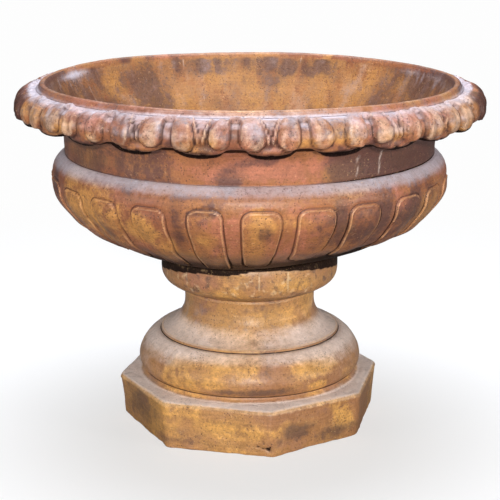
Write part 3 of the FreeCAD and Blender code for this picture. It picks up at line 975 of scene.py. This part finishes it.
def bowl_dark(bowl, zone, side, ends):
    """Smoky purple marks outside and in, and painted shade on the rim's ends, the frieze and crest
    to the sides, the lower belly and the inside walls to the sides.
    """
    points, z, heading = bowl.points, bowl.height, bowl.heading
    tall = points * TALL
    # painted shade on the frieze to the sides, most to the right
    frieze = 0.60 * smooth(0.22, 0.45, side) + 0.66 * smooth(18, 30, heading) * smooth(
        95, 80, heading)
    outside = strongest(
        patches(points, DARK_SPOTS, 121) * zone.outside,
        0.62 * blotches(points, 55, 123, 0.04, 0.36) * zone.outside,
        0.60 * zone.roll * blotches(points, 26, 125, -0.20, 0.20),
        # painted shade on the rim's left and right ends
        (zone.roll + zone.crest) * ends * smooth(0.96, 0.66, bowl.up)
        * (0.85 + 0.15 * blotches(points, 18, 126, -0.2, 0.2)),
        zone.frieze * frieze * (0.85 + 0.3 * blotches(tall, 22, 127, -0.2, 0.2)),
        # painted shade over the lower belly and its underside
        smooth(272, 238, z) * zone.belly * 0.55,
        smooth(232, 219, z) * zone.belly,
        # painted shade on the crest to the sides
        zone.crest * 0.42 * smooth(0.30, 0.62, side),
        zone.crest * 0.22 * smooth(0.5, 0.2, side),
        0.46 * bowl.panel * blotches(points, 15, 128, -0.04, 0.26),
        0.60 * zone.roll * blotches(points, 12, 129, -0.02, 0.24))
    inside = strongest(
        patches(tall, INSIDE_DARK_SPOTS, 131, scale=26),
        0.38 + 0.22 * blotches(tall, 26, 133, -0.02, 0.30),
        0.80 * smooth(366, 396, z) * smooth(135, 158, np.abs(heading))
        * (0.7 + 0.5 * blotches(tall, 18, 135, -0.2, 0.3)),
        # painted shade on the inside walls to the left and right
        smooth(0.55, 0.92, side) * (0.66 + 0.30 * blotches(tall, 20, 134, -0.10, 0.25)))
    return np.maximum(outside, inside * zone.inside)


def bowl_pale(bowl, zone, side, ends):
    """Bloom with painted sky sheen on the shoulder, the step under the crest and the tops of the
    leaves; painted reflection on the inside walls to the sides.
    """
    points, z, up = bowl.points, bowl.height, bowl.up
    tall = points * TALL
    low = 315.0 - 16.0 * smooth(0.15, 0.75, side)
    return strongest(
        # bloom with painted sky sheen where the shoulder and the roll face upwards, more to the
        # sides
        smooth(0.12, 0.86, up) * zone.belly * smooth(low - 5, low + 6, z) * (0.66 + 0.24 * side),
        zone.roll * smooth(0.74 - 0.30 * side, 1.05, up) * (0.52 + 0.28 * side)
        * (1 - 0.9 * ends * smooth(256, 262, bowl.radius)),
        zone.step * (0.95 - 0.55 * smooth(0.25, 0.7, side) + 0.4 * smooth(0.9, 0.99, side)),
        patches(points, BLOOM_SPOTS, 151) * (zone.inside + zone.crest),
        zone.inside * (0.10 + 0.16 * blotches(tall, 26, 154, 0.0, 0.3)),
        # painted reflection on the inside walls to the sides, near the rim
        zone.inside * smooth(0.80, 0.93, side) * smooth(376, 396, z)
        * blotches(tall, 7, 155, -0.10, 0.30) * 0.40,
        0.55 * bowl.window,
        zone.roll * (0.26 + 0.26 * blotches(points, 20, 153, -0.05, 0.3))
        * smooth(-0.28, 0.12, up) * (1 - 0.9 * smooth(0.84, 0.95, side)))


def paint_bowl(bowl):
    shade_bowl_sides(bowl)
    points, side = bowl.points, np.abs(bowl.sine)
    ends = smooth(0.90, 0.97, side)
    zone = bowl_zones(bowl)
    gold = strongest(
        0.60 * blotches(points, 95, 101, -0.02, 0.28) * zone.outside,
        patches(points, GOLD_SPOTS, 111) * zone.outside,
        zone.crest * np.clip(0.48 - 0.48 * side, 0, 1),
        zone.inside * (0.55 + 0.40 * blotches(points * TALL, 34, 104, -0.15, 0.3)))
    red = zone.outside * np.maximum(
        patches(points, RED_SPOTS, 141), 0.8 * blotches(points, 80, 143, -0.05, 0.22))
    bowl.attributes(
        cavity=np.clip(bowl.cavity, 0, 1.3), edge=np.clip(bowl.edge, 0, 1), panel=bowl.panel,
        line=np.clip(bowl.line, 0, 1), eave=frieze_eave(bowl), gold=gold,
        dark=bowl_dark(bowl, zone, side, ends), red=red * (1 - 0.8 * gold),
        pale=bowl_pale(bowl, zone, side, ends), lime=streaks(bowl, BOWL_RUNS))


PED_GOLD_SPOTS = [
    (36, 90, 18, 15, 1.0), (-30, 78, 26, 14, 0.7), (20, 140, 34, 18, 0.95),
    (30, 185, 22, 12, 0.7), (-5, 28, 40, 18, 0.7)]
PED_DARK_SPOTS = [
    (5, 68, 26, 6, 0.95), (22, 26, 9, 13, 1.0), (42, 12, 16, 12, 0.85), (62, 40, 12, 30, 0.3),
    (-62, 30, 22, 40, 0.75), (-3, 196, 10, 9, 0.5), (24, 192, 9, 7, 0.4),
    (-35, 10, 40, 6, 0.5), (-24, 22, 12, 22, 0.42)]
PED_RED_SPOTS = [(-30, 150, 40, 30, 0.6), (-60, 120, 30, 40, 0.5), (-25, 190, 30, 14, 0.8)]
PED_RUNS = [
    (-43, 203, 176, 1.6, 0.42), (6, 203, 178, 1.9, 0.62), (24.5, 203, 176, 2.6, 0.78),
    (45, 203, 182, 1.4, 0.36), (-70, 206, 170, 2, 0.6), (118, 206, 168, 2, 0.7),
    (160, 206, 168, 2, 0.7), (-140, 206, 168, 2, 0.7), (-110, 206, 168, 1.6, 0.6)]


def pedestal_pale(ped, side):
    """Bloom with painted light on the torus, the plinth's top and the sides, and faint bloom on the
    collar.
    """
    points, z, up = ped.points, ped.height, ped.up
    low = 0.22 + 0.24 * smooth(112, 92, z) * smooth(0.75, 0.4, side)
    pale = strongest(
        # bloom with painted sky sheen where the torus and the plinth's top face up, more to the
        # sides
        smooth(low, 0.88, up) * smooth(50, 56, z) * smooth(150, 125, z) * (0.50 + 0.56 * side),
        smooth(0.6, 0.98, up) * smooth(60, 56, z) * smooth(46, 52, z) * 1.35,
        # painted light on the pedestal's left and right
        0.30 * smooth(0.45, 0.9, side) * smooth(62, 75, z) * smooth(170, 140, z)
        * (0.6 + 0.5 * blotches(points, 24, 234, -0.1, 0.25)))
    # less of it in the angle between torus and plinth, as painted shade there
    angle = smooth(55.0, 56.5, z) * smooth(63, 60, z) * smooth(137, 133, ped.radius)
    return np.maximum(
        pale * (1 - 0.70 * angle),
        0.30 * smooth(196, 204, z) * (1 - 0.3 * blotches(points, 20, 233, 0, 0.3)))


def paint_pedestal(ped):
    points, z, side = ped.points, ped.height, np.abs(ped.sine)
    gold = np.maximum(0.65 * blotches(points, 70, 201, -0.10, 0.22),
                      patches(points, PED_GOLD_SPOTS, 211))
    dark = strongest(
        patches(points, PED_DARK_SPOTS, 221, scale=20),
        0.45 * blotches(points, 40, 223, 0.06, 0.38),
        0.55 * smooth(175, 168, z) * smooth(158, 166, z),
        # painted shade on the left of the waist
        0.46 * smooth(118, 130, z) * smooth(166, 160, z) * smooth(50, 20, ped.heading),
        0.55 * blotches(points, 10, 243, -0.02, 0.24) * smooth(164, 170, z) * smooth(206, 200, z))
    lichen = (blotches(points, 7, 241, 0.02, 0.26) * blotches(points, 30, 242, -0.15, 0.15)
              * smooth(166, 172, z) * smooth(203, 196, z))
    lime = np.maximum(streaks(ped, PED_RUNS), 0.62 * lichen) * smooth(0.9, 0.3, ped.cavity)
    ped.attributes(
        cavity=np.clip(ped.cavity, 0, 1.3), edge=np.clip(ped.edge, 0, 1), gold=gold, dark=dark,
        red=patches(points, PED_RED_SPOTS, 231), pale=pedestal_pale(ped, side), lime=lime)


# ============================================================================================
# materials
# ============================================================================================
class Shader:
    """Writes the node tree of a material or a world."""

    def __init__(self, owner):
        self.owner = owner
        owner.use_nodes = True
        self.tree = owner.node_tree
        self.tree.nodes.clear()

    def put(self, socket, value):
        """Link a socket, or set a value; colours are given without alpha."""
        if isinstance(value, bpy.types.NodeSocket):
            self.tree.links.new(value, socket)
        else:
            socket.default_value = (*value, 1.0) if socket.type == "RGBA" else value

    def add(self, kind, inputs=(), **settings):
        node = self.tree.nodes.new(kind)
        count = len(self.tree.nodes)
        node.location = (count * 40, -(count % 9) * 160)
        for name, value in settings.items():
            setattr(node, name, value)
        for name, value in dict(inputs).items():
            self.put(node.inputs[name], value)
        return node

    def math(self, operation, *values, clamp=False):
        node = self.add("ShaderNodeMath", dict(enumerate(values)), operation=operation,
                        use_clamp=clamp)
        return node.outputs[0]

    def mul(self, a, b):
        return self.math("MULTIPLY", a, b)

    def plus(self, a, b):
        return self.math("ADD", a, b)

    def mul_add(self, a, factor, offset):
        return self.math("MULTIPLY_ADD", a, factor, offset)

    def centred(self, value):
        return self.math("SUBTRACT", value, 0.5)

    def attribute(self, name):
        return self.add("ShaderNodeAttribute", attribute_name=name).outputs["Fac"]

    def coordinates(self):
        return self.add("ShaderNodeTexCoord").outputs["Object"]

    def noise(self, vector, scale, detail, rough):
        return self.add("ShaderNodeTexNoise", {
            "Vector": vector, "Scale": scale, "Detail": detail, "Roughness": rough,
        }).outputs["Fac"]

    def ramp(self, value, low, high, start=0.0, end=1.0):
        """Smoothly from start at low to end at high."""
        return self.add("ShaderNodeMapRange", {
            "Value": value, "From Min": low, "From Max": high, "To Min": start, "To Max": end,
        }, interpolation_type="SMOOTHSTEP").outputs["Result"]

    def mix(self, amount, a, b):
        # sockets 0, 6 and 7 are the factor and the two colours
        return self.add("ShaderNodeMix", {0: amount, 6: a, 7: b}, data_type="RGBA").outputs[2]

    def vector(self, operation, inputs):
        return self.add("ShaderNodeVectorMath", inputs, operation=operation).outputs["Vector"]

    def bump(self, height, strength, distance):
        return self.add("ShaderNodeBump", {
            "Strength": strength, "Distance": distance, "Height": height}).outputs["Normal"]

    def surface(self, kind, **inputs):
        return self.add(kind, inputs).outputs[0]

    def mix_surfaces(self, amount, a, b):
        return self.add("ShaderNodeMixShader", {0: amount, 1: a, 2: b}).outputs[0]

    def output(self, surface, kind="ShaderNodeOutputMaterial"):
        self.add(kind, {0: surface})
        return self.owner


def linear(*rgb):
    """sRGB 0..255 to linear."""
    return tuple(c / 12.92 if c <= 0.04045 else ((c + 0.055) / 1.055) ** 2.4
                 for c in (value / 255.0 for value in rgb))


class Clay(Shader):
    """Salt-glazed clay, driven by the masks on the mesh."""

    def __init__(self, name, palette, panels):
        super().__init__(bpy.data.materials.new(name))
        self.colour = SimpleNamespace(**{key: linear(*rgb) for key, rgb in palette.items()})
        self.panels = panels
        self.place = self.coordinates()
        self.mask = {key: self.attribute(key) for key in (
            "cavity", "edge", "gold", "dark", "red", "pale", "lime")}
        self.mid = self.noise(self.place, scale=38.0, detail=5, rough=0.64)
        self.fine = self.noise(self.place, scale=150.0, detail=4, rough=0.68)
        self.grain = self.noise(self.place, scale=430.0, detail=3, rough=0.75)
        self.jag = self.plus(self.mul(self.centred(self.mid), 1.5),
                             self.mul(self.centred(self.fine), 1.5))

    def ragged(self, mask, amount):
        return self.plus(mask, self.mul(self.jag, amount))

    def overlay(self, body, colour, mask, ragged, low, high, full, strength):
        """Lay on a colour with a ragged border; it reaches full strength at mask = full."""
        shape = self.ramp(self.ragged(mask, ragged), low, high)
        cap = self.ramp(mask, low=0.02, high=full, end=strength)
        return self.mix(self.mul(shape, cap), body, colour)

    def fired_body(self):
        """Ochre to red brown, mottled, with broad fire marks and the painted shade carried by the
        dark mask.
        """
        colour = self.colour
        broad = self.noise(self.place, scale=9.0, detail=4, rough=0.6)
        body = self.mix(self.ramp(broad, low=0.36, high=0.64), colour.ochre, colour.brown)
        mottle = self.plus(self.mul(self.mid, 0.5), self.mul(self.fine, 0.5))
        body = self.mix(self.mul(self.ramp(mottle, low=0.46, high=0.60), 0.6), body,
                        colour.mottle)
        for name, strength in (("red", 0.85), ("gold", 0.85), ("dark", 0.82)):
            mask = self.mask[name]
            mottled = self.ragged(mask, self.math("POWER", mask, 0.6))
            amount = self.mul(self.ramp(mottled, low=0.25, high=0.80), strength)
            body = self.mix(amount, body, getattr(colour, name))
        return body

    def bloom_and_sheen_over(self, body):
        """A pale lavender bloom with painted sky sheen, thin enough to show the clay."""
        pale = self.mask["pale"]
        bloom = self.mul(self.ramp(self.ragged(pale, 0.22), low=0.06, high=1.0),
                         self.ramp(pale, low=0.0, high=0.12))
        cover = self.ramp(pale, low=1.0, high=1.35, start=0.80, end=0.95)
        return bloom, self.mix(self.mul(bloom, cover), body, self.colour.bloom)

    def dirt_and_shade_over(self, body):
        """Dirt and painted shade in crevices and under overhangs, bare clay and painted highlights
        on edges, a painted shadow under the roll, runs of lime.
        """
        colour, cavity, edge = self.colour, self.mask["cavity"], self.mask["edge"]
        dirt = self.ramp(self.ragged(cavity, 0.35), low=0.18, high=1.0)
        soot_and_shadow = self.mix(self.ramp(cavity, low=0.62, high=1.12), colour.grime, colour.dirt)
        dirt = self.mul(dirt, self.ramp(cavity, low=0.02, high=0.2))
        cover = self.ramp(cavity, low=0.5, high=1.1, start=0.92, end=0.985)
        body = self.mix(self.mul(dirt, cover), body, soot_and_shadow)
        matt = self.ramp(cavity, low=0.55, high=1.1)
        # rubbed edges with painted highlights
        body = self.overlay(body, colour.edge, edge, ragged=0.6, low=0.30, high=1.0,
                            full=0.3, strength=0.55)
        if self.panels:
            # painted highlight along the panel beads
            body = self.overlay(body, colour.bead, self.attribute("line"), ragged=0.25,
                                low=0.25, high=0.9, full=0.3, strength=0.50)
            # painted shadow on the frieze under the roll, above the eave height
            z = self.add("ShaderNodeSeparateXYZ", {0: self.place}).outputs[2]
            over = self.math("SUBTRACT", self.mul(z, 1000.0), self.attribute("eave"))
            under = self.ramp(self.ragged(over, 1.2), low=-0.6, high=0.7)
            body = self.mix(self.mul(under, 0.98), body, colour.dirt)
            matt = self.math("MAXIMUM", matt, under)
        body = self.overlay(body, colour.lime, self.mask["lime"], ragged=0.4, low=0.15,
                            high=0.9, full=0.2, strength=0.62)
        return matt, body

    def texture_over(self, body, bloom):
        """Lighter and darker every few millimetres, down to the grain; calmer under the bloom and
        painted sheen.
        """
        value = 1.0
        for noise, strength in ((self.fine, 1.1), (self.grain, 0.9), (self.mid, 0.9)):
            value = self.mul_add(self.centred(noise), strength, value)
        squashed = self.vector("MULTIPLY", {0: self.place, 1: (10.0, 10.0, 330.0)})
        flat = self.noise(squashed, scale=1.0, detail=3, rough=0.7)
        value = self.mul_add(self.centred(flat), 0.55, value)
        calm = self.mul_add(bloom, -0.55, 1.0)
        value = self.mul_add(self.math("SUBTRACT", value, 1.0), calm, 1.0)
        return self.vector("SCALE", {0: body, "Scale": value})

    def iron_spots(self, bloom):
        """Iron spots and small pits, in clusters."""
        warp = self.add("ShaderNodeTexNoise", {"Vector": self.place, "Scale": 90.0})
        shift = self.vector("SUBTRACT", {0: warp.outputs["Color"], 1: (0.5, 0.5, 0.5)})
        shift = self.vector("SCALE", {0: shift, "Scale": 0.006})
        cells = self.add("ShaderNodeTexVoronoi", {
            "Vector": self.vector("ADD", {0: self.place, 1: shift}), "Scale": 300.0})
        spot = self.ramp(cells.outputs["Distance"], low=0.32, high=0.14)
        cluster = self.ramp(self.noise(self.place, scale=42.0, detail=4, rough=0.65),
                            low=0.44, high=0.60)
        if self.panels:
            on_panel = self.ramp(self.noise(self.place, scale=26.0, detail=4, rough=0.6),
                                 low=0.40, high=0.56)
            cluster = self.math("MAXIMUM", cluster, self.mul(on_panel, self.attribute("panel")))
        dark = self.mask["dark"]
        spots = self.mul(spot, self.math("MAXIMUM", cluster, self.mul(dark, 0.6)))
        dots = self.ramp(self.noise(self.place, scale=330.0, detail=2, rough=0.7),
                         low=0.60, high=0.70)
        dots = self.mul(dots, self.mul_add(dark, 0.5, 0.48))
        spots = self.math("MAXIMUM", spots, dots)
        return self.mul(spots, self.mul_add(bloom, -0.45, 1.0))

    def glints(self):
        return self.mul(
            self.ramp(self.noise(self.place, scale=360.0, detail=2, rough=0.7),
                      low=0.61, high=0.72),
            self.ramp(self.noise(self.place, scale=30.0, detail=3, rough=0.6),
                      low=0.40, high=0.62))

    def build(self):
        bloom, body = self.bloom_and_sheen_over(self.fired_body())
        matt, body = self.dirt_and_shade_over(body)
        body = self.texture_over(body, bloom)
        spots = self.iron_spots(bloom)
        body = self.mix(self.mul(spots, 0.74), body, self.colour.spot)
        body = self.mix(self.mul(self.glints(), 0.45), body, self.colour.glint)
        rough = self.plus(self.mul_add(self.mid, 0.24, 0.34), self.mul(bloom, 0.15))
        rough = self.plus(rough, self.mul(self.mask["cavity"], 0.15))
        shine = self.math("SUBTRACT", 1.0, matt, clamp=True)
        without_bloom_and_sheen = self.math("SUBTRACT", 1.0, bloom, clamp=True)
        height = self.plus(self.mul(self.fine, 0.75), self.mul(self.grain, 0.30))
        height = self.plus(height, self.mul(self.mid, 1.1))
        height = self.math("SUBTRACT", height, self.mul(spots, 0.35))
        return self.output(self.add("ShaderNodeBsdfPrincipled", {
            "Base Color": body,
            "Roughness": rough,
            "Specular IOR Level": self.mul_add(shine, 0.47, 0.08),
            "Coat Weight": self.mul(self.mul(without_bloom_and_sheen, 0.18), shine),
            "Coat Roughness": 0.34,
            "Normal": self.bump(height, strength=0.65, distance=0.0014),
        }).outputs[0])


# sRGB colours
BOWL_PALETTE = dict(
    ochre=(178, 118, 72), brown=(154, 94, 64), mottle=(120, 74, 58), red=(176, 110, 84),
    gold=(198, 142, 76), dark=(84, 54, 50), spot=(62, 38, 32), glint=(232, 186, 138),
    dirt=(26, 15, 13), grime=(76, 43, 35), edge=(226, 188, 158), bead=(222, 166, 118),
    bloom=(211, 206, 219), lime=(218, 198, 188))
PEDESTAL_PALETTE = dict(
    ochre=(190, 140, 86), brown=(166, 116, 76), mottle=(140, 100, 76), red=(160, 108, 82),
    gold=(206, 154, 82), dark=(96, 70, 58), spot=(72, 48, 36), glint=(238, 200, 142),
    dirt=(28, 18, 15), grime=(92, 62, 44), edge=(226, 186, 136), bloom=(236, 220, 212),
    lime=(228, 204, 166))


def bedding_material():
    """Grey-brown lime bedding with pale grit."""
    s = Shader(bpy.data.materials.new("lime_bedding"))
    place = s.coordinates()
    cloud = s.noise(place, scale=60.0, detail=5, rough=0.6)
    grit = s.noise(place, scale=420.0, detail=3, rough=0.7)
    colour = s.mix(s.ramp(cloud, low=0.35, high=0.65), linear(128, 118, 102), linear(92, 82, 70))
    colour = s.mix(s.mul(s.ramp(grit, low=0.56, high=0.70), 0.7), colour, linear(176, 166, 148))
    return s.output(s.add("ShaderNodeBsdfPrincipled", {
        "Base Color": colour,
        "Roughness": s.plus(0.78, s.mul(cloud, 0.15)),
        "Normal": s.bump(s.plus(cloud, s.mul(grit, 0.6)), strength=0.7, distance=0.001),
    }).outputs[0])


def floor_material():
    """White to the eye but a weak reflector; far away it melts into the background."""
    s = Shader(bpy.data.materials.new("studio_floor"))
    from_centre = s.add("ShaderNodeVectorMath", {0: s.coordinates()}, operation="LENGTH")
    seen = s.mix_surfaces(
        s.ramp(from_centre.outputs["Value"], low=0.25, high=1.2, start=0.55, end=1.0),
        s.surface("ShaderNodeBsdfDiffuse", Color=(0.93, 0.93, 0.93)),
        s.surface("ShaderNodeEmission", Color=(0.985, 0.985, 0.985)))
    bounce = s.surface("ShaderNodeBsdfDiffuse", Color=(0.22, 0.21, 0.20))
    to_camera = s.add("ShaderNodeLightPath").outputs["Is Camera Ray"]
    return s.output(s.mix_surfaces(to_camera, bounce, seen))


# ============================================================================================
# stage, light, camera (metres)
# ============================================================================================
def build_floor():
    material = floor_material()
    mesh = bpy.data.meshes.new("floor")
    mesh.from_pydata([(-60, -60, 0), (60, -60, 0), (60, 60, 0), (-60, 60, 0)], [], [(0, 1, 2, 3)])
    floor = bpy.data.objects.new("floor", mesh)
    scene.collection.objects.link(floor)
    mesh.materials.append(material)


def build_world():
    """A near-white background to the camera, a faint cool light to everything else."""
    if scene.world is None:
        scene.world = bpy.data.worlds.new("studio")
    s = Shader(scene.world)
    ambient = s.surface("ShaderNodeBackground", Color=(0.86, 0.92, 1.0), Strength=0.15)
    backdrop = s.surface("ShaderNodeBackground", Color=(0.98, 0.98, 0.98), Strength=1.0)
    to_camera = s.add("ShaderNodeLightPath").outputs["Is Camera Ray"]
    s.output(s.mix_surfaces(to_camera, ambient, backdrop), "ShaderNodeOutputWorld")


def disk_light(name, at, aim, size, watts, colour):
    light = bpy.data.lights.new(name, "AREA")
    light.shape = "DISK"
    light.size = size
    light.energy = watts
    light.color = colour
    ob = bpy.data.objects.new(name, light)
    ob.location = at
    scene.collection.objects.link(ob)
    ob.rotation_euler = (Vector(aim) - ob.location).to_track_quat("-Z", "Y").to_euler()


def build_lights():
    warm, warmer, cool = (1.0, 0.965, 0.92), (1.0, 0.96, 0.92), (0.88, 0.92, 1.0)
    disk_light("key", at=(0.10, -3.42, 1.19), aim=(0, 0, 0.28), size=0.14, watts=111, colour=warm)
    disk_light("sky", at=(0.0, 0.5, 2.5), aim=(0, 0, 0.3), size=2.0, watts=72, colour=cool)
    for name, x, watts in (("fill_right", 2.1, 17), ("fill_left", -2.1, 11.5)):
        disk_light(name, at=(x, -1.2, 0.50), aim=(0, 0, 0.12), size=0.7, watts=watts,
                   colour=warmer)


def build_camera():
    camera = bpy.data.cameras.new("camera")
    camera.sensor_width = 36.0
    camera.lens = 102.4344
    camera.clip_start, camera.clip_end = 0.05, 200
    camera.shift_x = 0.001
    ob = bpy.data.objects.new("camera", camera)
    ob.location = (0.0, -1.66487, 0.64268)
    ob.rotation_euler = (math.radians(90.0) - 0.2584, 0.0, 0.0)   # looking slightly down
    scene.collection.objects.link(ob)
    scene.camera = ob


scene = bpy.context.scene
bowl, pedestal, ring = build_bowl(), build_pedestal(), build_ring()
paint_bowl(bowl)
paint_pedestal(pedestal)
materials = (Clay("salt_glazed_bowl", BOWL_PALETTE, panels=True).build(),
             Clay("salt_glazed_pedestal", PEDESTAL_PALETTE, panels=False).build(),
             bedding_material())
pieces = ((bowl, "bowl", "bowl_clay"), (pedestal, "pedestal", "pedestal_clay"),
          (ring, "seat_ring", "ring_bedding"))
for (skin, body, slot), material in zip(pieces, materials):
    skin.object.data.materials.append(material)
    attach(skin.object, body)
    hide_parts(body)

scene.view_settings.view_transform = "Standard"
scene.view_settings.look = "None"
scene.view_settings.exposure = 0.0
scene.view_settings.gamma = 1.0
build_floor()
build_world()
build_lights()
build_camera()
